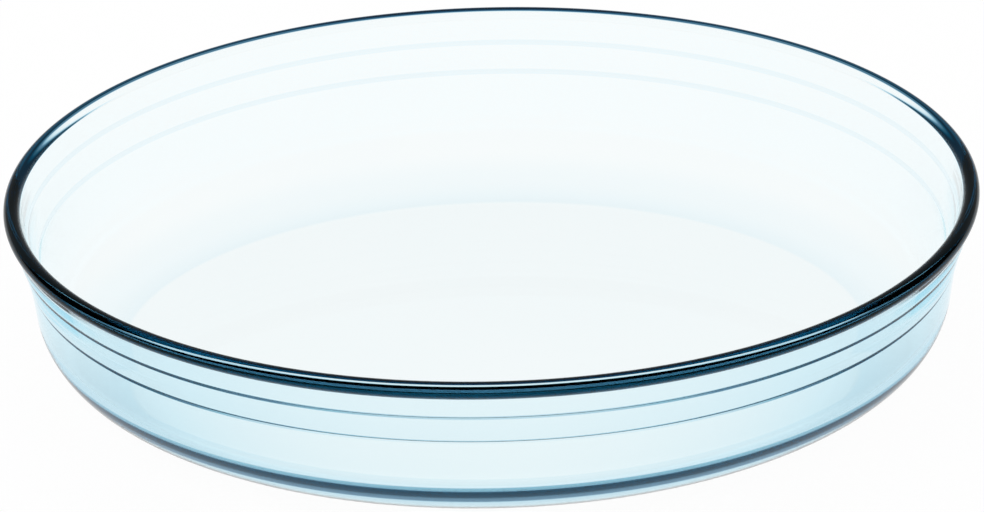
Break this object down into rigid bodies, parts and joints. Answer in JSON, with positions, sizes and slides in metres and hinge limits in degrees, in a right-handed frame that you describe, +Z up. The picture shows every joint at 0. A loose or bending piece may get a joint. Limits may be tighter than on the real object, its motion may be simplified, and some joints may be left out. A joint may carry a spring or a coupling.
{
  "type": "oval baking dish",
  "caption": "Deep oval baking dish pressed from clear glass, with a rounded rim bead, shallow stepped ledges round its flared wall and a wide base radius.",
  "frame": {"origin": "middle of the flat standing face", "axes": "+X along the length of the oval, +Y across it, +Z up out of the dish"},
  "size_m": [0.35, 0.24, 0.074],
  "materials": {
    "glass": "clear and fire-polished, with a faint blue-green tint where the glass is thick"
  },
  "bodies": {
    "root": {"dish": "glass"}
  },
  "joints": []
}
